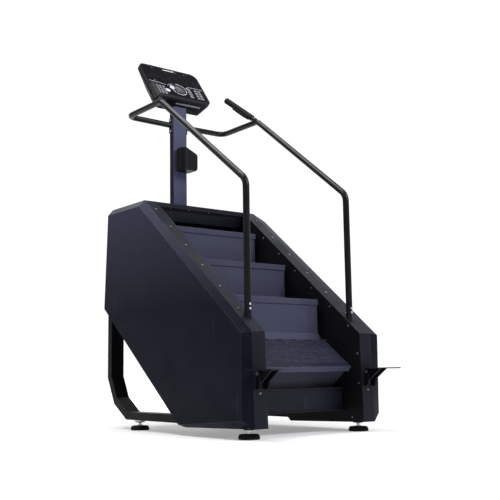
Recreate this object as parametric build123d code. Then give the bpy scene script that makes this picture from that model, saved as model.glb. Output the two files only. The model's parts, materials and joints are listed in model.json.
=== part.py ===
from build123d import *
import math
import os

# Stair climber. Millimetres, +Z up, the user stands in front and faces +Y.
# Shapes are drawn with Y = 0 at the top of the front plates and are moved by
# MID_Y at export, so that the origin is the middle of the footprint.

MID_Y = 560.0

# --- Stairway -------------------------------------------------------------
STEP_RUN = 251.4
STEP_RISE = 203.0
STEP_HALF = 275.0
TREAD_DEPTH = 220.0
NOSING = 29.0
SLOPE = math.degrees(math.atan2(STEP_RISE, STEP_RUN))
UP_Y = math.cos(math.radians(SLOPE))
UP_Z = math.sin(math.radians(SLOPE))
HINGE_BACK = 222.3
HINGE_DROP = 29.4
RISER_HINGE = (-29.0, -232.4)
NOSE_B = (521.6, 855.0)
# Gap under the nosing and gap to the next rod; wider where the loop turns.
LEVEL_GAPS = (1.0, 6.5)
RISER_GAPS = {"d": (1.0, 11.0), "e": (4.0, 11.0), "g": (1.0, 8.5), "t": (9.0, 6.5)}
SHEET = 2.0
# Gap left between a fastener or bracket and the face it is fixed to.
SEAT = 0.05

# --- Step loop ------------------------------------------------------------
LOWER_SHAFT = (345.0, 315.0)
SHAFT_SPAN = 821.0
UPPER_SHAFT = (LOWER_SHAFT[0] + SHAFT_SPAN * UP_Y, LOWER_SHAFT[1] + SHAFT_SPAN * UP_Z)
SPROCKET_R = 148.0
CHAIN_IN = 150.0
CHAIN_OUT = 162.0
TEETH = 30
SHAFT_R = 17.5
CHAIN_X = (280.0, 289.0)

# --- Side housings --------------------------------------------------------
WALL_X = 293.7
TRIM_X = 367.0
TRIM_REAR_LOW = 745.0
COVER_X = 423.0
TRIM_EDGE = [(-12, 46), (0, 469), (907, 1204), (1250, 1204), (1285, 640), (525, 34)]
COVER_EDGE = [(12, 85), (6, 461), (872, 1159), (1203, 1159), (1238, 645), (505, 50)]

# --- Frame, legs and feet -------------------------------------------------
TUBE_X = (299.0, 375.0)
TUBE = 40.0
RAIL_Z = 52.0
LEG_Y = 1280.0
FOOT_X = 337.0
FOOT_Y = (70.0, 998.0)
PAD_R = 48.0

# --- Handrails, post and console -------------------------------------------
RAIL_R = 16.0
RAIL_WALL = 2.5
RAIL_X = 318.5
RAIL_BASE = (89.0, 543.0)
RAIL_BEND_Z = 1170.0
RAIL_PEAK = (329.0, 804.0, 1728.0)
RAIL_REAR = (331.0, 1146.0, 1728.0)
GRIP_TIP = (255.7, 1008.2, 1896.2)
POST_HALF = 47.4
POST_Y = (1119.0, 1159.0)
POST_Z = (1157.0, 1836.0)
FACE_LOW = (1082.3, 1872.4)
FACE_TOP = (1260.6, 2113.5)
CONSOLE_W = 410.0
CONSOLE_H = math.dist(FACE_LOW, FACE_TOP)
CONSOLE_RIM = 24.0
CORNER = 46.0

# --- Folding side steps -----------------------------------------------------
PLATE_PIVOT = (-30.0, 285.0)
KNUCKLE_X = (-188.0, -94.0, 0.0, 94.0, 188.0)
TUBE_WALL = 2.5
PLATE_TOP = 303.0
BRACKET_LOW = 216.0
BRACKET_BACK = 3.2
KICK_Y = 132.0
KICK_Z = (100.0, 210.0)


def side_shape(points, x_from, x_to):
    """Extrude an outline given as (y, z) points from one X to another."""
    face = make_face(Polyline(*points, close=True))
    solid = extrude(Plane.YZ * face, amount=x_to - x_from)
    return Pos(x_from, 0, 0) * solid


def joined_shape(outlines, x_from, x_to):
    """Extrude several overlapping (y, z) outlines as one flat shape."""
    flat = make_face(Polyline(*outlines[0], close=True))
    for outline in outlines[1:]:
        flat += make_face(Polyline(*outline, close=True))
    return Pos(x_from, 0, 0) * extrude(Plane.YZ * flat, amount=x_to - x_from)


def side_block(y_from, y_to, z_from, z_to, x_from, x_to):
    size = (x_to - x_from, y_to - y_from, z_to - z_from)
    middle = ((x_from + x_to) / 2, (y_from + y_to) / 2, (z_from + z_to) / 2)
    return Pos(*middle) * Box(*size)


def cross_rod(y, z, radius, x_from, x_to):
    """A round bar along X."""
    rod = Rotation(0, 90, 0) * Cylinder(radius, x_to - x_from)
    return Pos((x_from + x_to) / 2, y, z) * rod


def flip(shape):
    return mirror(shape, about=Plane.YZ)


def inset(points, distance):
    """Move every edge of a closed (y, z) outline inwards by a distance."""
    result = []
    count = len(points)
    area = sum(points[i][0] * points[(i + 1) % count][1]
               - points[(i + 1) % count][0] * points[i][1] for i in range(count))
    sign = 1 if area > 0 else -1
    for i in range(count):
        before, here, after = points[i - 1], points[i], points[(i + 1) % count]
        line_a = moved_line(before, here, distance * sign)
        line_b = moved_line(here, after, distance * sign)
        result.append(crossing(line_a, line_b))
    return result


def moved_line(start, end, distance):
    length = math.dist(start, end)
    direction = ((end[0] - start[0]) / length, (end[1] - start[1]) / length)
    shift = (-direction[1] * distance, direction[0] * distance)
    return (start[0] + shift[0], start[1] + shift[1]), direction


def crossing(line_a, line_b):
    (pa, da), (pb, db) = line_a, line_b
    cross = da[0] * db[1] - da[1] * db[0]
    along = ((pb[0] - pa[0]) * db[1] - (pb[1] - pa[1]) * db[0]) / cross
    return pa[0] + da[0] * along, pa[1] + da[1] * along


def outline_at(points, x):
    wire = Polyline(*[(x, y, z) for y, z in points], close=True)
    return make_face(wire)


def turned(point, angle, centre=(0.0, 0.0)):
    """A (y, z) point turned about a centre, positive from +Y towards +Z."""
    a = math.radians(angle)
    y, z = point[0] - centre[0], point[1] - centre[1]
    return (centre[0] + y * math.cos(a) - z * math.sin(a),
            centre[1] + y * math.sin(a) + z * math.cos(a))


def incline_point(origin, along, above):
    """A (y, z) point measured along the incline and square to it."""
    return (origin[0] + along * UP_Y - above * UP_Z, origin[1] + along * UP_Z + above * UP_Y)


# --- Side housings ----------------------------------------------------------
def bevelled_skin(x_base, x_outer, base, outer):
    return loft([outline_at(base, x_base), outline_at(outer, x_outer)], ruled=True)


def side_cover():
    """Outer sheet-metal cover of the right housing, with bevelled edges."""
    body = bevelled_skin(TRIM_X, COVER_X, TRIM_EDGE, COVER_EDGE)
    hollow = bevelled_skin(TRIM_X, COVER_X - SHEET, inset(TRIM_EDGE, SHEET),
                           inset(COVER_EDGE, SHEET))
    passage = side_shape(inset(rail_outline(), -2), TUBE_X[0] - 1, TUBE_X[1] + 1.5)
    return body - hollow - passage


def point_at_height(start, end, z):
    """The (y, z) point at height z on the line through two (y, z) points."""
    return start[0] + (end[0] - start[0]) * (z - start[1]) / (end[1] - start[1]), z


def side_trim():
    """Front plate, sloping cap, top strip and rear strip, folded from one sheet.
    The rear strip ends above the leg."""
    band = []
    for edge in (TRIM_EDGE, inset(TRIM_EDGE, SHEET)):
        line = edge[:4] + [point_at_height(edge[3], edge[4], TRIM_REAR_LOW)]
        band += line if not band else list(reversed(line))
    strip = side_shape(band, WALL_X + SHEET + 0.3, TRIM_X - 0.2)
    return strip - rail_hole()


def rail_hole():
    return Pos(RAIL_X, RAIL_BASE[0], RAIL_BASE[1]) * Cylinder(RAIL_R + 1.5, 60)


def inner_wall():
    """Flat wall beside the steps, cut away behind for the shafts."""
    edge = inset(TRIM_EDGE, 0.4)
    wall = side_shape(edge, WALL_X, WALL_X + SHEET)
    for centre in (LOWER_SHAFT, UPPER_SHAFT):
        wall -= cross_rod(centre[0], centre[1], SHAFT_R + 6, WALL_X - 1, WALL_X + 4)
    for y_from, y_to, z_from, z_to in bar_places():
        wall -= side_block(y_from - 1, y_to + 1, z_from - 1, z_to + 1, WALL_X - 1, WALL_X + 4)
    return wall


def top_cover():
    """Top sheet over the drive end, between the housings, with the post cut-out."""
    z_top = TRIM_EDGE[2][1]
    plate = side_block(908, 1247, z_top - 2, z_top, -WALL_X + 0.5, WALL_X - 0.5)
    lip = side_block(908, 910, z_top - 24, z_top - 2, -WALL_X + 0.5, WALL_X - 0.5)
    hole = side_block(POST_Y[0] - 3, POST_Y[1] + 3, z_top - 10, z_top + 10,
                      -POST_HALF - 3, POST_HALF + 3)
    return plate + lip - hole


def top_panel():
    """Recessed panel under the top edge, folded back above the highest step."""
    half = WALL_X - 1.0
    points = [(931, 1201.5), (933, 1201.5), (933, 1166), (951, 1118), (949, 1117), (931, 1165)]
    front = side_shape(points, -half, half)
    lower = side_block(950, 1010, 1117, 1119, -half, half)
    return front + lower


def rear_cover():
    top = (1249.5, 1201.5)
    low = (1284.0, 650.0)
    length = math.dist(top, low)
    step = ((low[0] - top[0]) / length, (low[1] - top[1]) / length)
    across = (step[1], -step[0])
    inner_top = (top[0] + across[0] * SHEET, top[1] + across[1] * SHEET)
    inner_low = (low[0] + across[0] * SHEET, low[1] + across[1] * SHEET)
    plate = side_shape([top, low, inner_low, inner_top], -WALL_X + 0.5, WALL_X - 0.5)
    vents = [side_block(1240, 1300, 760 + 26 * i, 768 + 26 * i, -150, 150) for i in range(6)]
    plate -= side_block(1240, 1300, 690, 720, 196, 228)
    return plate - vents


# --- Frame --------------------------------------------------------------------
def hollow_bar(points, x_from, x_to):
    """Closed rectangular tube whose side outline is given in (y, z)."""
    core = side_shape(inset(points, TUBE_WALL), x_from + TUBE_WALL, x_to - TUBE_WALL)
    return side_shape(points, x_from, x_to) - core


def rectangle(y_from, y_to, z_from, z_to):
    return [(y_from, z_from), (y_to, z_from), (y_to, z_to), (y_from, z_to)]


def rail_outline():
    """Floor rail and rear leg in one line, with mitred bends."""
    return [(22, RAIL_Z), (1078, RAIL_Z), (1208, 132), (LEG_Y, 270), (LEG_Y, 730),
            (LEG_Y - TUBE, 730), (LEG_Y - TUBE, 279), (1180, 165), (1066, RAIL_Z + TUBE),
            (22, RAIL_Z + TUBE)]


def belly_tube():
    """Lower diagonal, along the bottom edge of the side cover."""
    low, high = (570, RAIL_Z + TUBE), (LEG_Y - TUBE, 672)
    rise = (high[1] - low[1]) / (high[0] - low[0])
    thick = TUBE / math.cos(math.atan(rise))
    return [low, high, (high[0], high[1] + thick), (low[0] - thick / rise, low[1])]


def top_tube():
    return [(22, 430), (62, 430), (900, 1109), (1190, 1109), (1190, 1149), (886, 1149)]


def side_frame():
    """Welded rectangular-tube frame: floor rail, mitred rear leg and uprights."""
    bars = [rail_outline(), belly_tube(), top_tube(),
            rectangle(22, 62, RAIL_Z + TUBE, 430), rectangle(1190, 1230, 690, 1149),
            rectangle(325, 365, RAIL_Z + TUBE, 674), rectangle(964, 1004, 470, 1109),
            rectangle(590, 630, 130, 870)]
    inner = [inset(outline, TUBE_WALL) for outline in bars]
    frame = joined_shape(bars, *TUBE_X)
    frame -= joined_shape(inner, TUBE_X[0] + TUBE_WALL, TUBE_X[1] - TUBE_WALL)
    socket = Pos(RAIL_X, RAIL_BASE[0], RAIL_BASE[1] - 40) * Cylinder(RAIL_R + 1.5, 200)
    shaft_gaps = [side_block(c[0] - 44, c[0] + 44, c[1] - 44, c[1] + 44, TUBE_X[0] - 1, TUBE_X[0] + 31)
                  for c in (LOWER_SHAFT, UPPER_SHAFT)]
    return frame - socket - shaft_gaps


def bar_places():
    """(y, z) limits of the bars that join the side frames."""
    return [(1100, 1180, 1109, 1149), (1238, 1276, 650, 688), (590, 630, 410, 450)]


def cross_members():
    """Bars that join the two side frames: mast, rear and motor bars."""
    bars = [hollow_bar(rectangle(*place), -TUBE_X[0], TUBE_X[0]) for place in bar_places()]
    return Compound(children=bars)


def foot_pads():
    """Four round rubber feet."""
    profile = [(0, 0), (PAD_R, 0), (PAD_R, 12), (PAD_R - 6, 22), (16, 24), (0, 24)]
    pad = revolve(Plane.XZ * make_face(Polyline(*profile, close=True)), axis=Axis.Z)
    pads = [Pos(x, y, 0) * pad for x in (-FOOT_X, FOOT_X) for y in FOOT_Y]
    return Compound(children=pads)


def foot_studs():
    """Levelling studs with their collar, lock nut and boss."""
    stud = Pos(0, 0, 24) * Cylinder(6, 28, align=(Align.CENTER, Align.CENTER, Align.MIN))
    collar = Pos(0, 0, 24) * Cylinder(13, 4, align=(Align.CENTER, Align.CENTER, Align.MIN))
    nut = Pos(0, 0, 33) * extrude(RegularPolygon(11, 6), amount=5)
    boss_profile = [(0, 40), (24, 40), (29, 45), (29, 52), (0, 52)]
    boss = revolve(Plane.XZ * make_face(Polyline(*boss_profile, close=True)), axis=Axis.Z)
    foot = stud + collar + nut + boss
    feet = [Pos(x, y, 0) * foot for x in (-FOOT_X, FOOT_X) for y in FOOT_Y]
    return Compound(children=feet)


# --- Steps ----------------------------------------------------------------------
def tread_plate():
    """One tread, drawn level with its nosing edge at the origin: folded plate,
    ribs, and the knuckles and rod that the riser above hangs on."""
    rear = TREAD_DEPTH
    profile = [(0, 0), (rear, 0), (rear, -20), (rear - 2, -20), (rear - 2, -2.5), (30, -2.5),
               (30, -20), (28, -20), (28, -NOSING), (0, -NOSING)]
    plate = side_shape(profile, -STEP_HALF, STEP_HALF)
    plate -= side_block(2.5, 25.5, -NOSING - 1, -2.5, -STEP_HALF + 2, STEP_HALF - 2)
    ribs = [side_block(36 + 14 * i, 41 + 14 * i, 0, 1.6, -STEP_HALF + 12, STEP_HALF - 12)
            for i in range(13)]
    lug = [(rear - 24, -2.5), (rear - 2, -2.5), (rear - 2, -20), (HINGE_BACK + 4, -27),
           (HINGE_BACK, -HINGE_DROP - 4), (HINGE_BACK - 6, -HINGE_DROP)]
    lugs = [side_shape(lug, x - 18, x + 18) for x in KNUCKLE_X]
    rod = cross_rod(HINGE_BACK, -HINGE_DROP, 4, -STEP_HALF + 1, STEP_HALF - 1)
    return plate + ribs + lugs + rod


def riser_plate(top_gap, end_gap):
    """One riser, drawn under a level tread: a flat face, then a flange that runs
    forward to the next tread's rod, notched round the knuckles. The gaps are
    left under the nosing and before the rod's centre."""
    end = RISER_HINGE
    bend = (2.0, -171.0)
    keep = 1 - end_gap / math.dist(bend, end)
    low = (bend[0] + (end[0] - bend[0]) * keep, bend[1] + (end[1] - bend[1]) * keep)
    top = -NOSING - top_gap
    front = [(5, top), bend, low]
    back = [(low[0] + 1.9, low[1] - 1.0), (bend[0] + 2.2, bend[1] - 0.9), (7, top)]
    plate = side_shape(front + back, -STEP_HALF + 3, STEP_HALF - 3)
    notches = [side_block(-40, 4, -240, -206, x - 21, x + 21) for x in KNUCKLE_X]
    return plate - notches


def step_piece(shape, nose, angle):
    """Put a piece drawn at a level step where that step's nosing is."""
    return Pos(0, nose[0], nose[1]) * (Rotation(angle, 0, 0) * shape)


def nose_from_hinge(hinge, angle):
    offset = turned((-HINGE_BACK, HINGE_DROP), angle)
    return hinge[0] + offset[0], hinge[1] + offset[1]


def hinge_from_nose(nose, angle):
    offset = turned(RISER_HINGE, angle)
    return nose[0] + offset[0], nose[1] + offset[1]


def level_nose(steps_up):
    return NOSE_B[0] + STEP_RUN * steps_up, NOSE_B[1] + STEP_RISE * steps_up


def step_positions():
    """Nosing point, tread angle and riser angle of the eight steps in the loop."""
    a, b, c = level_nose(1), level_nose(0), level_nose(-1)
    d = nose_from_hinge(hinge_from_nose(c, 0), 36.5)
    hinge_e = hinge_from_nose(d, 54.3)
    e = nose_from_hinge(hinge_e, 181.9)
    f = (788.2, 296.9)
    g = (f[0] + STEP_RUN, f[1] + STEP_RISE)
    t = (1199.6, 914.3)
    return {"a": (a, 0, 0), "b": (b, 0, 0), "c": (c, 0, 0), "d": (d, 36.5, 54.3),
            "e": (e, 181.9, 154.1), "f": (f, 180, 180), "g": (g, 180, 180),
            "t": (t, 241.8, 247.9)}


# --- Step drive -------------------------------------------------------------------
def toothed_wheel(centre, x_from, x_to):
    wheel = cross_rod(centre[0], centre[1], SPROCKET_R - 6, x_from, x_to)
    tooth = side_block(-4.5, 4.5, SPROCKET_R - 10, SPROCKET_R, x_from, x_to)
    teeth = [Pos(0, centre[0], centre[1]) * (Rotation(i * 360 / TEETH, 0, 0) * tooth)
             for i in range(TEETH)]
    windows = [Pos(0, centre[0], centre[1]) * (Rotation(60 * i, 0, 0)
               * cross_rod(0, 92, 26, x_from - 1, x_to + 1)) for i in range(6)]
    return wheel + teeth - windows - cross_rod(centre[0], centre[1], SHAFT_R, x_from - 1, x_to + 1)


def sprockets(centre):
    right = toothed_wheel(centre, CHAIN_X[0] + 1, CHAIN_X[1] - 1)
    return Compound(children=[right, flip(right)])


def shaft(centre):
    return cross_rod(centre[0], centre[1], SHAFT_R, -TUBE_X[0] - 29, TUBE_X[0] + 29)


def bearings():
    """Flanged bearings that carry the two shafts, one at each end."""
    items = []
    for centre in (LOWER_SHAFT, UPPER_SHAFT):
        flange = side_block(centre[0] - 42, centre[0] + 42, centre[1] - 42, centre[1] + 42,
                            TUBE_X[0] + 18, TUBE_X[0] + 30)
        boss = cross_rod(centre[0], centre[1], 32, TUBE_X[0] + 4, TUBE_X[0] + 18)
        bore = cross_rod(centre[0], centre[1], SHAFT_R + 0.3, TUBE_X[0], TUBE_X[0] + 40)
        unit = flange + boss - bore
        items += [unit, flip(unit)]
    return Compound(children=items)


def chain_loop():
    """One chain as its outer envelope around both sprockets."""
    def stadium(radius):
        low, high = LOWER_SHAFT, UPPER_SHAFT
        ends = [cross_rod(c[0], c[1], radius, *CHAIN_X) for c in (low, high)]
        corners = [incline_point(low, 0, radius), incline_point(low, 0, -radius),
                   incline_point(high, 0, -radius), incline_point(high, 0, radius)]
        return ends[0] + ends[1] + side_shape(corners, *CHAIN_X)
    return stadium(CHAIN_OUT) - stadium(CHAIN_IN)


def step_chains():
    right = chain_loop()
    return Compound(children=[right, flip(right)])


def chain_guides():
    """Wear strips on the walls that carry the loaded run of each chain."""
    strip = [incline_point(LOWER_SHAFT, 60, 138), incline_point(UPPER_SHAFT, -60, 138),
             incline_point(UPPER_SHAFT, -60, 149.3), incline_point(LOWER_SHAFT, 60, 149.3)]
    right = side_shape(strip, CHAIN_X[0], WALL_X)
    return Compound(children=[right, flip(right)])


MOTOR_AT = (610.0, 520.0)
DRIVE_PULLEY_R = 100.0
MOTOR_PULLEY_R = 32.0
BELT_X = (236.0, 256.0)


def drive_motor():
    body = cross_rod(MOTOR_AT[0], MOTOR_AT[1], 62, 20, 200)
    fins = [cross_rod(MOTOR_AT[0], MOTOR_AT[1], 66, 40 + 14 * i, 44 + 14 * i) for i in range(9)]
    nose = cross_rod(MOTOR_AT[0], MOTOR_AT[1], 30, 200, 222)
    box = side_block(MOTOR_AT[0] - 35, MOTOR_AT[0] + 35, MOTOR_AT[1] + 58, MOTOR_AT[1] + 80, 60, 150)
    feet = side_block(MOTOR_AT[0] - 45, MOTOR_AT[0] + 45, 450, MOTOR_AT[1] - 50, 40, 180)
    return body + fins + nose + box + feet


def pulley(centre, radius):
    body = cross_rod(centre[0], centre[1], radius, BELT_X[0] - 2, BELT_X[1] + 2)
    groove = cross_rod(centre[0], centre[1], radius + 1, *BELT_X)
    groove -= cross_rod(centre[0], centre[1], radius - 4, *BELT_X)
    return body - groove


def drive_pulley():
    bore = cross_rod(UPPER_SHAFT[0], UPPER_SHAFT[1], SHAFT_R, BELT_X[0] - 5, BELT_X[1] + 5)
    return pulley(UPPER_SHAFT, DRIVE_PULLEY_R) - bore


def motor_pulley():
    axle = cross_rod(MOTOR_AT[0], MOTOR_AT[1], 9, 222.3, BELT_X[0] - 2)
    return pulley(MOTOR_AT, MOTOR_PULLEY_R) + axle


def drive_belt():
    """Ribbed belt from the motor to the upper shaft, as one closed band."""
    def band(extra):
        shapes = []
        for centre, radius in ((UPPER_SHAFT, DRIVE_PULLEY_R), (MOTOR_AT, MOTOR_PULLEY_R)):
            shapes.append(cross_rod(centre[0], centre[1], radius - 4 + extra, *BELT_X))
        return shapes[0] + shapes[1] + side_shape(belt_sides(extra), *BELT_X)
    return band(4.0) - band(0.3)


def belt_sides(extra):
    """The four tangent points of the belt's outline."""
    big, small = DRIVE_PULLEY_R - 4 + extra, MOTOR_PULLEY_R - 4 + extra
    gap = (MOTOR_AT[0] - UPPER_SHAFT[0], MOTOR_AT[1] - UPPER_SHAFT[1])
    heading = math.degrees(math.atan2(gap[1], gap[0]))
    lean = math.degrees(math.acos((big - small) / math.hypot(*gap)))
    corners = []
    for centre, radius, side in ((UPPER_SHAFT, big, 1), (MOTOR_AT, small, 1),
                                 (MOTOR_AT, small, -1), (UPPER_SHAFT, big, -1)):
        offset = turned((radius, 0), heading + side * lean)
        corners.append((centre[0] + offset[0], centre[1] + offset[1]))
    return corners


def controller_box():
    """Motor controller, on a plate fixed to the left frame's motor bar."""
    case = side_block(560, 660, 450, 560, -230, -70)
    return fillet(case.edges().filter_by(Axis.X), 6)


def power_inlet():
    """Mains inlet set in the rear cover, with its recess and three pins."""
    body = side_block(1246, 1283, 692, 718, 198, 226)
    body -= side_block(1262, 1290, 695, 715, 202, 222)
    pins = [side_block(1261, 1275, 702 + dz, 706 + dz, x - 1, x + 1)
            for x, dz in ((206, 0), (212, 4), (218, 0))]
    return body + pins


# --- Post and handrails --------------------------------------------------------------
def post():
    """Rectangular mast with its foot plate."""
    tube = side_block(POST_Y[0], POST_Y[1], POST_Z[0], POST_Z[1], -POST_HALF, POST_HALF)
    tube = fillet(tube.edges().filter_by(Axis.Z), 5)
    hollow = side_block(POST_Y[0] + 3, POST_Y[1] - 3, POST_Z[0] + 1, POST_Z[1] + 1,
                        -POST_HALF + 3, POST_HALF - 3)
    foot = side_block(POST_Y[0] - 15, POST_Y[1] + 15, 1149, POST_Z[0], -80, 80)
    return tube - hollow + foot


def handrail():
    """Right handrail: foot, upright, slope, peak and the run back to the post."""
    points = [(RAIL_X, RAIL_BASE[0], RAIL_BASE[1] - 100), (RAIL_X, RAIL_BASE[0], RAIL_BEND_Z),
              RAIL_PEAK, RAIL_REAR, (POST_HALF + 5, RAIL_REAR[1] - 7, RAIL_REAR[2] - 5)]
    path = FilletPolyline(*points, radius=[70, 60, 45])
    ring = Circle(RAIL_R) - Circle(RAIL_R - RAIL_WALL)
    tube = sweep(Plane(origin=path @ 0, z_dir=path % 0) * ring, path=path)
    flange = side_block(POST_Y[0] + 2, POST_Y[1] - 2, 1680, 1765, POST_HALF, POST_HALF + 5)
    return tube + flange


def grip_axis():
    start = Vector(*RAIL_PEAK)
    return (Vector(*GRIP_TIP) - start).normalized(), (Vector(*GRIP_TIP) - start).length


def grip_plane(distance):
    """A plane square to the right grip, with its Y direction upwards."""
    direction, _ = grip_axis()
    across = direction.cross(Vector(0, 0, 1)).normalized()
    return Plane(origin=Vector(*RAIL_PEAK) + direction * distance, x_dir=across, z_dir=direction)


def grip_core():
    """Short stub tube welded to the handrail, inside the grip."""
    _, length = grip_axis()
    return extrude(grip_plane(14) * Circle(13), amount=length - 18)


def grip():
    """Right hand grip: a soft sleeve with a raised key pod on top."""
    _, length = grip_axis()
    sleeve = extrude(grip_plane(46) * Circle(17.5), amount=length - 46)
    sleeve = fillet(sleeve.edges().sort_by(SortBy.LENGTH)[-2:], 4)
    pod = extrude(grip_plane(72) * (Pos(0, 9) * RectangleRounded(34, 26, 9)), amount=120)
    sleeve = sleeve + pod
    sleeve -= extrude(grip_plane(0) * Circle(13.2), amount=length - 3)
    sleeve -= extrude(grip_plane(93.6) * (Pos(0, 22) * Rectangle(18.8, 10)), amount=76.8)
    return sleeve


def grip_rocker():
    """Two-way rocker key in the pod, with a groove across its middle."""
    key = extrude(grip_plane(94) * (Pos(0, 21) * RectangleRounded(18, 5.6, 2)), amount=76)
    return key - extrude(grip_plane(130.5) * (Pos(0, 23.6) * Rectangle(20, 2.4)), amount=3)


# --- Console -----------------------------------------------------------------------------
def face_plane(depth=0.0):
    """Plane of the console's face, a depth behind it, centred on the face."""
    tilt_y = (FACE_TOP[0] - FACE_LOW[0]) / CONSOLE_H
    tilt_z = (FACE_TOP[1] - FACE_LOW[1]) / CONSOLE_H
    normal = Vector(0, -tilt_z, tilt_y)
    middle = Vector(0, (FACE_LOW[0] + FACE_TOP[0]) / 2, (FACE_LOW[1] + FACE_TOP[1]) / 2)
    return Plane(origin=middle - normal * depth, x_dir=(1, 0, 0), z_dir=normal)


def console_frame():
    """Front half of the console: rim with a recess for the panel."""
    rim = extrude(face_plane(CONSOLE_RIM) * RectangleRounded(CONSOLE_W, CONSOLE_H, CORNER),
                  amount=CONSOLE_RIM)
    rim -= extrude(face_plane(3.2) * (Pos(0, 8) * RectangleRounded(CONSOLE_W - 16, CONSOLE_H - 32, CORNER - 8)),
                   amount=10)
    rim -= extrude(face_plane(CONSOLE_RIM + 1) * RectangleRounded(CONSOLE_W - 10, CONSOLE_H - 10, CORNER - 5),
                   amount=CONSOLE_RIM - 5)
    return rim


def console_panel():
    """Glossy panel with the display window and the flat key areas."""
    return extrude(face_plane(3.0) * (Pos(0, 8) * RectangleRounded(CONSOLE_W - 17, CONSOLE_H - 33, CORNER - 8.5)),
                   amount=2.4)


def console_back():
    """Rear shell, tapering to a narrower foot where the post enters."""
    wide = face_plane(CONSOLE_RIM + 0.3) * RectangleRounded(CONSOLE_W - 1, CONSOLE_H - 1, CORNER)
    narrow = face_plane(85) * (Pos(0, -CONSOLE_H / 2 - 8 + 95) * RectangleRounded(310, 190, 24))
    shell = loft([wide, narrow])
    inner_wide = face_plane(CONSOLE_RIM) * RectangleRounded(CONSOLE_W - 7, CONSOLE_H - 7, CORNER - 3)
    inner_narrow = face_plane(82) * (Pos(0, -CONSOLE_H / 2 - 8 + 95) * RectangleRounded(303, 183, 22))
    shell -= loft([inner_wide, inner_narrow])
    clearance = side_block(POST_Y[0] - 1, POST_Y[1] + 1, 1700, POST_Z[1] + 2,
                           -POST_HALF - 1, POST_HALF + 1)
    return shell - clearance


def console_bracket():
    """Bent plate that fastens the console to the top of the post."""
    plate = extrude(face_plane(78) * (Pos(0, -60) * Rectangle(150, 130)), amount=4)
    tongue = side_block(POST_Y[0] + 4, POST_Y[1] - 4, POST_Z[1] - 80, POST_Z[1] + 40, -40, 40)
    cut = extrude(face_plane(74) * Rectangle(600, 600), amount=200)
    return plate + (tongue - cut)


# --- Bottle holder --------------------------------------------------------------------------
HOLDER_X = 24.0
HOLDER_Y = (1040.0, 1118.7)
HOLDER_Z = (1445.0, 1577.0)


def holder_outline(grow):
    width = 118 + 2 * grow
    depth = HOLDER_Y[1] - HOLDER_Y[0] + 2 * grow
    shape = Pos(HOLDER_X, (HOLDER_Y[0] + HOLDER_Y[1]) / 2) * RectangleRounded(width, depth, 30 + grow)
    return shape


def holder_block(grow, profile):
    """The rounded footprint cut to a front profile of (x, z) points."""
    tall = extrude(Pos(0, 0, HOLDER_Z[0] - 10) * holder_outline(grow), amount=200)
    front = extrude(Plane.XZ * make_face(Polyline(*profile, close=True)), amount=-2000)
    return tall & front


def bottle_holder():
    """Open cup on the front of the post: high on the left, cut down to the right,
    with a bevelled lower corner and a groove down its front."""
    left, right = HOLDER_X - 59, HOLDER_X + 59
    low, high = HOLDER_Z
    outer = [(left, low), (right - 25, low), (right, low + 25), (right, high - 42),
             (right - 88, high), (left, high)]
    wall = 3.5
    inner = [(left + wall, low + wall), (right - 26.5, low + wall), (right - wall, low + 26.5),
             (right - wall, high + 20), (left + wall, high + 20)]
    groove = side_block(HOLDER_Y[0] - 2, HOLDER_Y[0] + 1.6, low + 12, high + 5,
                        HOLDER_X - 16, HOLDER_X - 6)
    return holder_block(0, outer) - holder_block(-wall, inner) - groove


def kick_panel():
    """Fixed panel low between the walls, under the lowest visible step: an upright
    sheet with a flange folded forward along the bottom and a small lip on top."""
    half = WALL_X - 1.0
    low, high = KICK_Z
    sheet = side_block(KICK_Y, KICK_Y + SHEET, low, high, -half, half)
    flange = side_block(KICK_Y - 14, KICK_Y, low, low + SHEET, -half, half)
    lip = side_block(KICK_Y - 8, KICK_Y, high - SHEET, high, -half, half)
    return sheet + flange + lip


# --- Folding side steps ---------------------------------------------------------------------
def folding_step():
    """Right folding step: a pointed plate with two gussets on the pivot pin."""
    outline = [(297, -24), (372, -24), (470, -80), (395, -165), (297, -118)]
    plate = Pos(0, 0, PLATE_TOP - 5) * extrude(make_face(Polyline(*outline, close=True)), amount=5)
    gusset = [(-24, PLATE_TOP - 5), (-116, PLATE_TOP - 5), (-44, 247), (-42, 222), (-11, 222),
              (-11, 250), (-20, 266)]
    gussets = [side_shape(gusset, x, x + 4) for x in (310, 349)]
    pin_hole = cross_rod(PLATE_PIVOT[0], PLATE_PIVOT[1], 6.3, 300, 370)
    return plate + gussets - pin_hole


def platform_brackets():
    """U brackets on the front plates that carry the folding steps."""
    rear = front_plate_y(BRACKET_LOW) - SEAT
    back = side_block(rear - BRACKET_BACK, rear, BRACKET_LOW, 268, 300, 361)
    cheek = [(-10, BRACKET_LOW), (-10, 266), (-20, 274), (-24, 296), (-36, 296), (-42, 286),
             (-43, 238), (-39, 225), (-30, BRACKET_LOW)]
    items = [side_shape(cheek, x, x + 4) for x in (303, 356)]
    unit = back + items - cross_rod(PLATE_PIVOT[0], PLATE_PIVOT[1], 6.3, 295, 370)
    return Compound(children=[unit, flip(unit)])


def platform_pins():
    """Headed pivot pin of each folding step."""
    pin = cross_rod(PLATE_PIVOT[0], PLATE_PIVOT[1], 6.0, 300, 362)
    pin += cross_rod(PLATE_PIVOT[0], PLATE_PIVOT[1], 9.0, 362, 367)
    return Compound(children=[pin, flip(pin)])


# --- Fasteners -------------------------------------------------------------------------------
def button_screw(point, direction, radius=5.5, height=3.0):
    plane = Plane(origin=point, z_dir=direction)
    head = extrude(plane * Circle(radius), amount=height)
    head = fillet(head.edges().sort_by(Axis(point, direction))[-1:], min(height, radius) * 0.6)
    socket = extrude(plane.offset(height - 1.4) * RegularPolygon(radius * 0.5, 6), amount=2)
    return head - socket


def panel_screws():
    """Button-head screws of the sheet-metal panels."""
    return Compound(children=slope_screws() + wall_screws() + front_screws())


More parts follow.
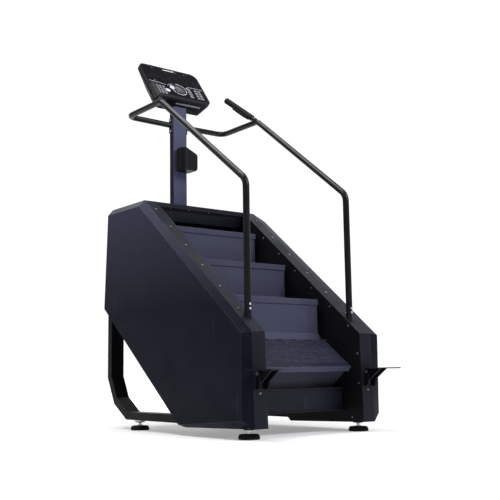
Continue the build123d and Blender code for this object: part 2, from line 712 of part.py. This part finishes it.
def slope_screws():
    """Screws along both sloping caps, square to the cap's own slope."""
    start, end = TRIM_EDGE[1], TRIM_EDGE[2]
    run, rise = end[0] - start[0], end[1] - start[1]
    length = math.hypot(run, rise)
    normal = (0, -rise / length, run / length)
    items = []
    for i in range(6):
        part = 0.147 + 0.1555 * i
        y = start[0] + run * part + SEAT * normal[1]
        z = start[1] + rise * part + SEAT * normal[2]
        for side in (-1, 1):
            items.append(button_screw((side * 338, y, z), normal))
    return items


def wall_screws():
    """Screws along the inner walls, beside the steps."""
    places = [incline_point((75, 507), 166.5 * i, 0) for i in range(6)]
    places += [(240, 445), (17, 372), (14, 230), (66, 68)]
    items = []
    for y, z in places:
        for side in (-1, 1):
            items.append(button_screw((side * WALL_X, y, z), (-side, 0, 0), 4.5, 2.4))
    return items


def front_plate_y(z):
    """Y of the front plate's outer face at a height; the plate leans slightly."""
    return point_at_height(*TRIM_EDGE[:2], z)[0]


def front_screws():
    """Screws in the front plates, the bracket bolts and the recessed panel's screws."""
    lean = front_plate_y(1) - front_plate_y(0)
    bracket_face = front_plate_y(BRACKET_LOW) - BRACKET_BACK - 2 * SEAT
    items = []
    for side in (-1, 1):
        items.append(button_screw((side * 332, front_plate_y(199) - SEAT, 199), (0, -1, lean), 5.5, 3))
        items.append(button_screw((side * 332, bracket_face, 236), (0, -1, 0), 7, 4.5))
        items.append(button_screw((side * 187, 931, 1184), (0, -1, 0), 4.5, 2.4))
    items.append(button_screw((-68, 931, 1184), (0, -1, 0), 4.5, 2.4))
    items.append(button_screw((68, 931, 1184), (0, -1, 0), 4.5, 2.4))
    return items


def rail_bolts():
    """Dome bolts: two through each handrail foot and two through each post flange."""
    items = []
    for side in (-1, 1):
        for z in (574, 594):
            items.append(button_screw((side * RAIL_X, RAIL_BASE[0] - RAIL_R - SEAT, z), (0, -1, 0), 6, 5))
        for z in (1691, 1754):
            items.append(button_screw((side * (POST_HALF + 5), 1139, z), (side, 0, 0), 7, 5))
    return Compound(children=items)


def all_nodes():
    nodes = {}
    for name, shape in (("side_cover", side_cover()), ("side_trim", side_trim()),
                        ("inner_wall", inner_wall()), ("side_frame", side_frame()),
                        ("handrail", handrail() + grip_core()), ("grip", grip()),
                        ("grip_rocker", grip_rocker()),
                        ("folding_step", folding_step())):
        nodes[name + "_right"] = shape
        nodes[name + "_left"] = flip(shape)
    nodes.update({
        "top_cover": top_cover(), "top_panel": top_panel(), "rear_cover": rear_cover(),
        "kick_panel": kick_panel(),
        "cross_members": cross_members(), "foot_pads": foot_pads(), "foot_studs": foot_studs(),
        "post": post(), "console_frame": console_frame(), "console_panel": console_panel(),
        "console_back": console_back(), "console_bracket": console_bracket(),
        "bottle_holder": bottle_holder(), "platform_brackets": platform_brackets(),
        "platform_pins": platform_pins(), "panel_screws": panel_screws(),
        "rail_bolts": rail_bolts(),
        "lower_shaft": shaft(LOWER_SHAFT), "upper_shaft": shaft(UPPER_SHAFT),
        "lower_sprockets": sprockets(LOWER_SHAFT), "upper_sprockets": sprockets(UPPER_SHAFT),
        "shaft_bearings": bearings(), "step_chains": step_chains(), "chain_guides": chain_guides(),
        "drive_motor": drive_motor(), "motor_pulley": motor_pulley(),
        "drive_pulley": drive_pulley(), "drive_belt": drive_belt(),
        "controller_box": controller_box(), "power_inlet": power_inlet(),
    })
    nodes.update(step_nodes())
    return nodes


def step_nodes():
    """Treads and risers: one node each, with the two hidden return steps in pairs."""
    names = {"a": "1", "b": "2", "c": "3", "d": "4", "e": "5", "f": "return", "g": "return",
             "t": "8"}
    groups = {}
    for letter, (nose, tread_angle, riser_angle) in step_positions().items():
        tread = step_piece(tread_plate(), nose, tread_angle)
        riser = step_piece(riser_plate(*RISER_GAPS.get(letter, LEVEL_GAPS)), nose, riser_angle)
        groups.setdefault("tread_" + names[letter], []).append(tread)
        groups.setdefault("riser_" + names[letter], []).append(riser)
    return {name: solids[0] if len(solids) == 1 else Compound(children=solids)
            for name, solids in groups.items()}


def centred(shape):
    """Move each solid by itself, so that the file holds no nested location."""
    solids = [(Pos(0, -MID_Y, 0) * Solid(solid.wrapped)) for solid in shape.solids()]
    return solids[0] if len(solids) == 1 else Compound(solids)


def main():
    os.makedirs("parts", exist_ok=True)
    for name, shape in all_nodes().items():
        export_step(centred(shape), os.path.join("parts", name + ".step"))


main()
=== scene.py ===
import json
import math

import bmesh
import bpy
from mathutils import Matrix, Vector


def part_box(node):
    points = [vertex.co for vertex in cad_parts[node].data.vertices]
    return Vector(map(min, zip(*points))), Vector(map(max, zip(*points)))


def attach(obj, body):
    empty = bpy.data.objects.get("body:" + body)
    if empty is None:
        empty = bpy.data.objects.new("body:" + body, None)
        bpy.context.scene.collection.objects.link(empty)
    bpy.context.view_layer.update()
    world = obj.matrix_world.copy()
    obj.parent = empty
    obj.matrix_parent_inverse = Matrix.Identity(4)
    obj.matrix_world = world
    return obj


# Stair climber. Metres, +Z up, the user faces +Y. The CAD bodies stay as they
# are: this script gives them materials and adds the console's markings.

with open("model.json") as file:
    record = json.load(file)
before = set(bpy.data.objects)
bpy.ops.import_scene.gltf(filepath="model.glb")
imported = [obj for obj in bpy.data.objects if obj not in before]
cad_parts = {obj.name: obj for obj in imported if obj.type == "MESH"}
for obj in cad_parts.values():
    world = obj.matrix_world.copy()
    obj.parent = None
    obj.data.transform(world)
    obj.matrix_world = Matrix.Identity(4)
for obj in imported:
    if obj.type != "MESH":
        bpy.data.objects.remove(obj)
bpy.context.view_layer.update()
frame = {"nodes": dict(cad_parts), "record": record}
NODES = frame["nodes"]

# --- Materials -----------------------------------------------------------------

# The Mix node's sockets in its colour mode.
COLOUR_A, COLOUR_B, COLOUR_OUT = 6, 7, 2

# The noise values where an effect starts and where it is full: patches of another
# colour, and a roughness that wanders.
PATCHES = (0.35, 0.7)
WANDER = (0.3, 0.7)

# The lightened edges, part wear and part painted highlight, start and are full at these cosines
# between the true and the rounded normal.
WEAR_AND_HIGHLIGHT = (0.995, 0.86)

# A face counts as facing -Y, and gets painted light, between these values of its normal's Y.
FRONT_FACING = (-0.70, -0.82)

# How far the shading rounds the edges of each kind of surface.
PAINT_EDGE, MOULDED_EDGE, METAL_EDGE = 0.0022, 0.0012, 0.0008

# How strongly the handling marks show on powder coat.
MARK_STRENGTH = 0.12


def scaled(colour, factor, extra=0.0):
    """A lighter or darker form of a colour."""
    return tuple(min(1, part * factor + extra) for part in colour)


class Shader:
    """One material with helpers for the nodes it is built from."""

    def __init__(self, name, metallic=0.0, specular=0.5):
        self.mat = bpy.data.materials.new(name)
        self.mat.use_nodes = True
        self.tree = self.mat.node_tree
        self.bsdf = self.tree.nodes["Principled BSDF"]
        self.bsdf.inputs["Metallic"].default_value = metallic
        self.bsdf.inputs["Specular IOR Level"].default_value = specular
        self.coords = self.tree.nodes.new("ShaderNodeTexCoord")
        self.normal = None

    def node(self, kind, **settings):
        made = self.tree.nodes.new(kind)
        for key, value in settings.items():
            setattr(made, key, value)
        return made

    def link(self, output, target):
        self.tree.links.new(output, target)

    def feed(self, socket, value):
        """Gives a socket a number, a colour or another node's output."""
        if isinstance(value, (int, float)):
            socket.default_value = value
        elif isinstance(value, tuple):
            socket.default_value = (*value, 1)
        else:
            self.link(value, socket)

    def multiply(self, first, second):
        made = self.node("ShaderNodeMath", operation="MULTIPLY", use_clamp=True)
        for socket, value in zip(made.inputs, (first, second)):
            self.feed(socket, value)
        return made.outputs[0]

    def noise(self, scale, detail, stretch=None):
        made = self.node("ShaderNodeTexNoise")
        made.inputs["Scale"].default_value = scale
        made.inputs["Detail"].default_value = detail
        vector = self.coords.outputs["Object"]
        if stretch:
            mapping = self.node("ShaderNodeMapping")
            mapping.inputs["Scale"].default_value = stretch
            self.link(vector, mapping.inputs["Vector"])
            vector = mapping.outputs["Vector"]
        self.link(vector, made.inputs["Vector"])
        return made.outputs["Fac"]

    def span(self, value, low, high, out_low=0.0, out_high=1.0):
        """Maps low..high to out_low..out_high."""
        made = self.node("ShaderNodeMapRange")
        self.link(value, made.inputs["Value"])
        for name, number in (("From Min", low), ("From Max", high),
                             ("To Min", out_low), ("To Max", out_high)):
            made.inputs[name].default_value = number
        return made.outputs["Result"]

    def mix(self, factor, first, second):
        made = self.node("ShaderNodeMix", data_type="RGBA")
        self.feed(made.inputs[0], factor)
        self.feed(made.inputs[COLOUR_A], first)
        self.feed(made.inputs[COLOUR_B], second)
        return made.outputs[COLOUR_OUT]

    def mottled(self, scale, detail, colour, other):
        """A colour with soft patches of another."""
        return self.mix(self.span(self.noise(scale, detail), *PATCHES), colour, other)

    def wander(self, scale, detail, middle, below, above):
        """A value that drifts between middle - below and middle + above."""
        return self.span(self.noise(scale, detail), *WANDER, middle - below, middle + above)

    def along(self, coordinates, axis):
        """One axis of the object's own coordinates or normals."""
        made = self.node("ShaderNodeSeparateXYZ")
        self.link(self.coords.outputs[coordinates], made.inputs[0])
        return made.outputs[axis]

    def soft_edges(self, radius):
        """Rounded edges for the shading, and a mask that is 1 along them."""
        bevel = self.node("ShaderNodeBevel", samples=4)
        bevel.inputs["Radius"].default_value = radius
        self.normal = bevel.outputs["Normal"]
        geometry = self.node("ShaderNodeNewGeometry")
        dot = self.node("ShaderNodeVectorMath", operation="DOT_PRODUCT")
        self.link(self.normal, dot.inputs[0])
        self.link(geometry.outputs["Normal"], dot.inputs[1])
        return self.span(dot.outputs["Value"], *WEAR_AND_HIGHLIGHT)

    def bump(self, height, strength, distance):
        made = self.node("ShaderNodeBump")
        made.inputs["Strength"].default_value = strength
        made.inputs["Distance"].default_value = distance
        self.link(height, made.inputs["Height"])
        if self.normal is not None:
            self.link(self.normal, made.inputs["Normal"])
        self.normal = made.outputs["Normal"]

    def finish(self, colour, roughness):
        self.feed(self.bsdf.inputs["Base Color"], colour)
        self.feed(self.bsdf.inputs["Roughness"], roughness)
        if self.normal is not None:
            self.link(self.normal, self.bsdf.inputs["Normal"])
        return self.mat


def powder_coat(name, colour, edge, rough, front_painted_light=None, gloss=0.13, painted_light_by_height=None):
    """Satin powder coat: orange peel, slight mottling, handling marks, and edges
    made lighter, part wear and part painted highlight. front is a lighter colour
    painted on faces that look towards -Y as painted light, gloss is how strongly
    the coat reflects, and rise is (low z, high z, colour at the top): painted
    shade low down and painted light higher up."""
    shader = Shader(name, specular=gloss)
    wear_and_highlight = shader.soft_edges(PAINT_EDGE)
    base = shader.mottled(5, 4, colour, scaled(colour, 1.28))
    # Painted light and shade: the coat is darker low down and lighter towards the top.
    if painted_light_by_height:
        low, high, lit_top_colour = painted_light_by_height
        base = shader.mix(shader.span(shader.along("Object", "Z"), low, high), base, lit_top_colour)
    # Painted light: faces that look towards -Y are made lighter.
    if front_painted_light:
        front_light_mask = shader.span(shader.along("Normal", "Y"), *FRONT_FACING)
        base = shader.mix(front_light_mask, base, front_painted_light)
    uneven = shader.span(shader.noise(38, 3), 0.35, 0.6, out_low=0.25)
    wear_and_highlight = shader.multiply(wear_and_highlight, uneven)
    marks = shader.span(shader.noise(16, 8, stretch=(1, 1, 0.25)), 0.63, 0.74)
    base = shader.mix(shader.multiply(marks, MARK_STRENGTH), base, edge)
    # Edges made lighter: part wear, part painted highlight.
    base = shader.mix(wear_and_highlight, base, edge)
    shader.bump(shader.noise(620, 2), strength=0.16, distance=0.0004)
    return shader.finish(base, shader.wander(9, 5, rough, below=0.07, above=0.09))


def moulded(name, colour, rough, grain=900, strength=0.3):
    """Moulded plastic or rubber with a fine grained skin, paler along its edges: part wear, part
    painted highlight.
    """
    shader = Shader(name, specular=0.12)
    wear_and_highlight = shader.soft_edges(MOULDED_EDGE)
    base = shader.mottled(11, 5, colour, scaled(colour, 1.35, 0.002))
    # Edges made paler: part wear, part painted highlight.
    base = shader.mix(shader.multiply(wear_and_highlight, 0.5), base, scaled(colour, 2, 0.03))
    shader.bump(shader.noise(grain, 3), strength, distance=0.0004)
    return shader.finish(base, shader.wander(14, 4, rough, below=0.06, above=0.08))


def metal(name, colour, rough, stretch=(1, 1, 12)):
    """Machined or plated metal with fine drawn lines and dull patches."""
    shader = Shader(name, metallic=1.0)
    shader.soft_edges(METAL_EDGE)
    base = shader.mottled(30, 5, colour, scaled(colour, 0.72))
    shader.bump(shader.noise(260, 3, stretch), strength=0.12, distance=0.0003)
    return shader.finish(base, shader.wander(22, 5, rough, below=0.08, above=0.14))


def gloss_panel(name):
    """Gloss panel with faint smudges."""
    shader = Shader(name, specular=0.05)
    shader.bump(shader.noise(40, 2), strength=0.02, distance=0.0003)
    smudge = shader.span(shader.noise(26, 6), 0.5, 0.75)
    base = shader.mix(smudge, (0.004, 0.004, 0.006), (0.008, 0.008, 0.011))
    return shader.finish(base, shader.span(smudge, 0.0, 1.0, out_low=0.16, out_high=0.34))


def printed(name, colour):
    """Screen-printed ink, a little uneven."""
    shader = Shader(name)
    thin = shader.span(shader.noise(420, 3), 0.3, 0.75, out_high=0.4)
    base = shader.mix(thin, colour, scaled(colour, 0.6))
    shader.bump(shader.noise(800, 2), strength=0.1, distance=0.0002)
    return shader.finish(base, shader.wander(300, 2, 0.45, below=0.05, above=0.05))


# The colour that edges lighten towards: part wear, part painted highlight.
EDGE = (0.075, 0.073, 0.10)
RECIPES = {
    # The cover is lighter towards its top: painted light.
    "cover_paint": (powder_coat, dict(
        colour=(0.0040, 0.0052, 0.0110), edge=EDGE, rough=0.44, gloss=0.05,
        painted_light_by_height=(0.60, 1.20, (0.0330, 0.0340, 0.0560)))),
    "trim_paint": (powder_coat, dict(
        colour=(0.0085, 0.0088, 0.0155), edge=EDGE, rough=0.40)),
    "wall_paint": (powder_coat, dict(
        colour=(0.0035, 0.0035, 0.0050), edge=(0.03, 0.03, 0.04), rough=0.5)),
    "frame_paint": (powder_coat, dict(
        colour=(0.0030, 0.0030, 0.0042), edge=EDGE, rough=0.38, gloss=0.08)),
    "rail_paint": (powder_coat, dict(
        colour=(0.0042, 0.0042, 0.0062), edge=EDGE, rough=0.31, gloss=0.20)),
    # The post's faces that look towards -Y are lighter: painted light.
    "post_paint": (powder_coat, dict(
        colour=(0.0060, 0.0065, 0.0110), edge=EDGE, rough=0.42,
        front_painted_light=(0.0560, 0.0600, 0.1140))),
    # The step plates are darker low down: painted shade. Their edges turn lighter, part wear and part
    # painted highlight.
    "step_plate": (powder_coat, dict(
        colour=(0.0100, 0.0105, 0.0150), edge=(0.17, 0.165, 0.26), rough=0.40,
        painted_light_by_height=(0.17, 0.46, (0.0560, 0.0600, 0.1000)))),
    "console_plastic": (moulded, dict(colour=(0.0070, 0.0070, 0.0085), rough=0.48)),
    "console_gloss": (gloss_panel, dict()),
    "holder_plastic": (moulded, dict(colour=(0.0025, 0.0025, 0.0035), rough=0.4)),
    "rubber": (moulded, dict(
        colour=(0.0060, 0.0060, 0.0060), rough=0.72, grain=500, strength=0.5)),
    "soft_grip": (moulded, dict(
        colour=(0.0060, 0.0060, 0.0075), rough=0.66, grain=1100, strength=0.6)),
    "key_plastic": (moulded, dict(colour=(0.15, 0.15, 0.17), rough=0.4)),
    "zinc": (metal, dict(colour=(0.62, 0.62, 0.65), rough=0.30)),
    "black_steel": (metal, dict(colour=(0.30, 0.30, 0.33), rough=0.34)),
    "steel": (metal, dict(colour=(0.52, 0.52, 0.54), rough=0.28, stretch=(12, 1, 1))),
    "aluminium": (metal, dict(colour=(0.60, 0.60, 0.62), rough=0.42, stretch=(3, 3, 3))),
    "guide_plastic": (moulded, dict(colour=(0.03, 0.03, 0.03), rough=0.42)),
    # The nosing's faces that look towards -Y are lighter: painted light. Its edges turn lighter, part
    # wear and part painted highlight.
    "nosing": (powder_coat, dict(
        colour=(0.0110, 0.0120, 0.0230), edge=(0.16, 0.155, 0.25), rough=0.36,
        front_painted_light=(0.056, 0.056, 0.098))),
}
MATERIALS = {name: make(name, **settings) for name, (make, settings) in RECIPES.items()}


def dress(node, material):
    obj = NODES[node]
    if not obj.material_slots:
        obj.data.materials.append(material)
    for item in obj.material_slots:
        item.material = material


for part in frame["record"]["subparts"]:
    chosen = "nosing" if part["node"].startswith("tread_") else part["material_slot"]
    dress(part["node"], MATERIALS[chosen])

# --- Console markings ----------------------------------------------------------

# The face leans back. A place on it is (x, s): x runs across it, and s runs up it
# from its low edge.
FACE_RISE, FACE_RUN = 0.2411, 0.1783
FACE_TILT = math.atan2(FACE_RISE, FACE_RUN)
UP_FACE = Vector((0, math.cos(FACE_TILT), math.sin(FACE_TILT)))
OUT = Vector((0, -math.sin(FACE_TILT), math.cos(FACE_TILT)))

# The rim's thickness, and how far the panel lies below the rim's face.
RIM_DEPTH = 0.024
PANEL_SINK = 0.0006

# Behind the rim the underside drops by BACK_DROP on its way to BACK_DEPTH.
BACK_DEPTH, BACK_DROP = 0.085, 0.008

rim_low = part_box("console_frame")[0]
FACE_LOW = Vector((0, rim_low.y, rim_low.z + RIM_DEPTH * math.cos(FACE_TILT)))

# How far each kind of marking stands up.
INK, GLASS, KEY, ROUND_KEY, BADGE = 0.0004, 0.0006, 0.0007, 0.0008, 0.0009
DIAL_TOP, TRAY_STRIP = 0.0011, 0.0014


def on_face(x, s, lift=0.0):
    return FACE_LOW + Vector((x, 0, 0)) + UP_FACE * s + OUT * (lift - PANEL_SINK)


def on_underside(x, depth, lift=0.0):
    """A point under the console, a depth behind its face."""
    drop = BACK_DROP * max(0.0, depth - RIM_DEPTH) / (BACK_DEPTH - RIM_DEPTH)
    return FACE_LOW + Vector((x, 0, 0)) - OUT * depth - UP_FACE * (drop + lift)


def raised(outlines, name, material, height=INK, place=on_face):
    """Thin raised shapes on the console, from outlines on its face or underside."""
    mesh = bmesh.new()
    for outline in outlines:
        low = [mesh.verts.new(place(x, s)) for x, s in outline]
        top = [mesh.verts.new(place(x, s, height)) for x, s in outline]
        mesh.faces.new(top)
        mesh.faces.new(list(reversed(low)))
        count = len(outline)
        for i in range(count):
            j = (i + 1) % count
            mesh.faces.new((low[i], low[j], top[j], top[i]))
    bmesh.ops.recalc_face_normals(mesh, faces=mesh.faces)
    data = bpy.data.meshes.new(name)
    mesh.to_mesh(data)
    mesh.free()
    obj = bpy.data.objects.new(name, data)
    bpy.context.scene.collection.objects.link(obj)
    data.materials.append(material)
    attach(obj, "frame")
    return obj


def disc(x, s, radius, count=28):
    return [(x + radius * math.cos(2 * math.pi * i / count),
             s + radius * math.sin(2 * math.pi * i / count)) for i in range(count)]


def pill(x, s, wide, tall, corner, count=5):
    """A rectangle with rounded corners."""
    points = []
    for side_x, side_s, start in ((1, 1, 0), (-1, 1, 90), (-1, -1, 180), (1, -1, 270)):
        for i in range(count + 1):
            angle = math.radians(start + 90 * i / count)
            points.append((x + side_x * (wide / 2 - corner) + corner * math.cos(angle),
                           s + side_s * (tall / 2 - corner) + corner * math.sin(angle)))
    return points


def stroke(points, width):
    """A line of constant width along (x, s) points, as short four-sided pieces."""
    pieces = []
    for (xa, sa), (xb, sb) in zip(points, points[1:]):
        length = math.hypot(xb - xa, sb - sa)
        off_x, off_s = -(sb - sa) / length * width / 2, (xb - xa) / length * width / 2
        pieces.append([(xa + off_x, sa + off_s), (xb + off_x, sb + off_s),
                       (xb - off_x, sb - off_s), (xa - off_x, sa - off_s)])
    return pieces


def arc(x, s, radius, start, end, width, count=36):
    """A curved line from one angle to another, in degrees."""
    points = []
    for i in range(count + 1):
        angle = math.radians(start + (end - start) * i / count)
        points.append((x + radius * math.cos(angle), s + radius * math.sin(angle)))
    return stroke(points, width)


white_ink = printed("white_ink", (0.50, 0.50, 0.54))
grey_ink = printed("grey_ink", (0.17, 0.17, 0.195))
dim_ink = printed("dim_ink", (0.05, 0.05, 0.06))
window = gloss_panel("window_glass")

# Four by four keys at the lower left.
KEYPAD_X, KEYPAD_S = -0.166, 0.036
KEYPAD_PITCH_X, KEYPAD_PITCH_S = 0.0215, 0.0205
keypad = [pill(KEYPAD_X + KEYPAD_PITCH_X * i, KEYPAD_S + KEYPAD_PITCH_S * j,
               wide=0.0165, tall=0.0152, corner=0.005)
          for j in range(4) for i in range(4)]
raised(keypad, "keypad_keys", grey_ink, KEY)

UPPER_KEY = (-0.036, 0.108)
LOWER_KEY = (-0.0785, 0.070)
raised([disc(*LOWER_KEY, 0.0155), disc(*UPPER_KEY, 0.0165)], "round_keys", white_ink,
       ROUND_KEY)

# The dial, with segments placed from its centre.
DIAL = (0.010, 0.101)
SEGMENTS = ((-0.013, 0.012), (0.006, 0.013), (-0.014, -0.002), (0.004, -0.003), (-0.011, -0.016))
raised(arc(*DIAL, 0.0500, -168, 102, width=0.0036), "dial_ring", white_ink)
raised(arc(*DIAL, 0.0385, 0, 360, width=0.0016), "dial_inner_ring", grey_ink)
raised([disc(*DIAL, 0.0300)], "dial_key", dim_ink, KEY)
segments = [pill(DIAL[0] + x, DIAL[1] + s, wide=0.012, tall=0.0055, corner=0.002)
            for x, s in SEGMENTS]
raised(segments, "dial_segments", grey_ink, DIAL_TOP)
raised([disc(0.029, 0.076, 0.0055)], "dial_dot", dim_ink, DIAL_TOP)

# Three columns of four keys at the right, each with its place and width.
COLUMNS = ((0.084, 0.026), (0.1335, 0.022), (0.1595, 0.022))
COLUMN_S, COLUMN_PITCH = 0.050, 0.0235
columns = [pill(x, COLUMN_S + COLUMN_PITCH * i, wide, tall=0.0165, corner=0.0045)
           for x, wide in COLUMNS for i in range(4)]
raised(columns, "column_keys", grey_ink, KEY)

# A line runs across the panel and arches over the upper round key.
LINE = 0.0028
LINE_LEFT = [(-0.186, 0.1352), (-0.156, 0.1338), (-0.126, 0.1305), (-0.098, 0.1275), (-0.0735, 0.1235)]
LINE_RIGHT = [(0.066, 0.128), (0.086, 0.141), (0.122, 0.147), (0.160, 0.146), (0.190, 0.142)]
lines = stroke(LINE_LEFT, LINE)
lines += arc(*UPPER_KEY, 0.0300, 158, 62, LINE, count=12)
lines += stroke(LINE_RIGHT, LINE)
raised(lines, "panel_lines", white_ink)

display = pill(0, 0.212, wide=0.345, tall=0.108, corner=0.012)
raised([display], "display_window", window, GLASS)

MARKS = ((-0.118, 0.2720), (0.112, 0.2720), (0.046, 0.2720), (-0.141, 0.1500), (0.142, 0.1505))
marks = [pill(x, s, wide=0.0125, tall=0.0032, corner=0.0015) for x, s in MARKS]
raised(marks, "panel_marks", grey_ink)

badge = pill(0, 0.2775, wide=0.078, tall=0.0085, corner=0.003)
raised([badge], "plain_badge", white_ink, BADGE)

tray = pill(0.012, 0.0375, wide=0.225, tall=0.046, corner=0.006)
raised([tray], "tray_recess", window, GLASS, on_underside)
strip = pill(0.048, 0.0315, wide=0.170, tall=0.0100, corner=0.003)
raised([strip], "tray_strip", grey_ink, TRAY_STRIP, on_underside)

# --- Floor, room, lights and camera --------------------------------------------

FLOOR_SIZE, FLOOR_Z = 60.0, -0.0002

# The floor glows more strongly further from the object, so that it stays white.
GLOW_FROM, GLOW_TO = 1.2, 4.5
GLOW_NEAR, GLOW_FAR = 0.26, 0.80


def floor_material():
    shader = Shader("pale_floor", specular=0.2)
    shader.bump(shader.noise(90, 3), strength=0.02, distance=0.001)
    shader.bsdf.inputs["Emission Color"].default_value = (1, 1, 1, 1)
    away = shader.node("ShaderNodeVectorMath", operation="LENGTH")
    shader.link(shader.coords.outputs["Object"], away.inputs[0])
    glow = shader.span(away.outputs["Value"], GLOW_FROM, GLOW_TO, GLOW_NEAR, GLOW_FAR)
    shader.link(glow, shader.bsdf.inputs["Emission Strength"])
    return shader.finish((0.80, 0.80, 0.80), shader.wander(4, 3, 0.80, below=0.05, above=0.05))


half = FLOOR_SIZE / 2
floor_data = bpy.data.meshes.new("floor")
floor_data.from_pydata([(-half, -half, FLOOR_Z), (half, -half, FLOOR_Z),
                        (half, half, FLOOR_Z), (-half, half, FLOOR_Z)], [], [(0, 1, 2, 3)])
floor = bpy.data.objects.new("floor", floor_data)
bpy.context.scene.collection.objects.link(floor)
floor_data.materials.append(floor_material())

# The room is dim, with a bright wall behind the object. The wall fades in between
# two cosines of the angle from its middle.
WALL_TOWARDS = (0.62, 0.78, 0.10)
WALL_EDGE, WALL_FULL = 0.45, 0.84
ROOM_LIGHT, WALL_LIGHT = 0.27, 1.06


def studio_room():
    world = bpy.data.worlds.new("studio")
    world.use_nodes = True
    tree = world.node_tree
    coords = tree.nodes.new("ShaderNodeTexCoord")
    dot = tree.nodes.new("ShaderNodeVectorMath")
    dot.operation = "DOT_PRODUCT"
    dot.inputs[1].default_value = Vector(WALL_TOWARDS).normalized()
    fade = tree.nodes.new("ShaderNodeMapRange")
    fade.interpolation_type = "SMOOTHSTEP"
    for name, number in (("From Min", WALL_EDGE), ("From Max", WALL_FULL),
                         ("To Min", ROOM_LIGHT), ("To Max", WALL_LIGHT)):
        fade.inputs[name].default_value = number
    tree.links.new(coords.outputs["Generated"], dot.inputs[0])
    tree.links.new(dot.outputs["Value"], fade.inputs["Value"])
    back = tree.nodes["Background"]
    back.inputs["Color"].default_value = (1, 1, 1, 1)
    tree.links.new(fade.outputs["Result"], back.inputs["Strength"])
    bpy.context.scene.world = world


studio_room()
bpy.context.scene.view_settings.view_transform = "Standard"


def softbox(name, place, target, size, power, colour=(1, 1, 1)):
    data = bpy.data.lights.new(name, "AREA")
    data.shape = "SQUARE"
    data.size = size
    data.energy = power
    data.color = colour
    obj = bpy.data.objects.new(name, data)
    obj.location = place
    obj.rotation_euler = (Vector(target) - Vector(place)).to_track_quat("-Z", "Y").to_euler()
    bpy.context.scene.collection.objects.link(obj)


MIDDLE = (0, 0, 1.0)
REAR_TOP = (0, 0.3, 1.5)
softbox("key_light", (1.4, -3.6, 3.9), MIDDLE, size=2.2, power=150, colour=(0.93, 0.94, 1.0))
softbox("top_light", (-1.0, 0.4, 5.0), MIDDLE, size=3.0, power=210)
softbox("left_light", (-4.2, 1.6, 3.9), REAR_TOP, size=1.6, power=22, colour=(0.90, 0.92, 1.0))

# The camera stands low at the entry end, to the left, and looks slightly up.
CAMERA_AT = Vector((-2.6724, -3.4964, 0.2973))
YAW, PITCH, ROLL = 0.6648, 0.1407, -0.0156
LENS_MM, SENSOR_MM = 61.3368, 36.0
ahead = Vector((math.sin(YAW) * math.cos(PITCH), math.cos(YAW) * math.cos(PITCH), math.sin(PITCH)))
right = Vector((math.cos(YAW), -math.sin(YAW), 0))
above = right.cross(ahead)
across = right * math.cos(ROLL) + above * math.sin(ROLL)
upward = above * math.cos(ROLL) - right * math.sin(ROLL)
camera_axes = (across, upward, -ahead)
camera_data = bpy.data.cameras.new("camera")
camera_data.sensor_width = SENSOR_MM
camera_data.lens = LENS_MM
camera = bpy.data.objects.new("camera", camera_data)
camera.matrix_world = Matrix.Translation(CAMERA_AT) @ Matrix(
    [[axis[i] for axis in camera_axes] for i in range(3)]).to_4x4()
bpy.context.scene.collection.objects.link(camera)
bpy.context.scene.camera = camera
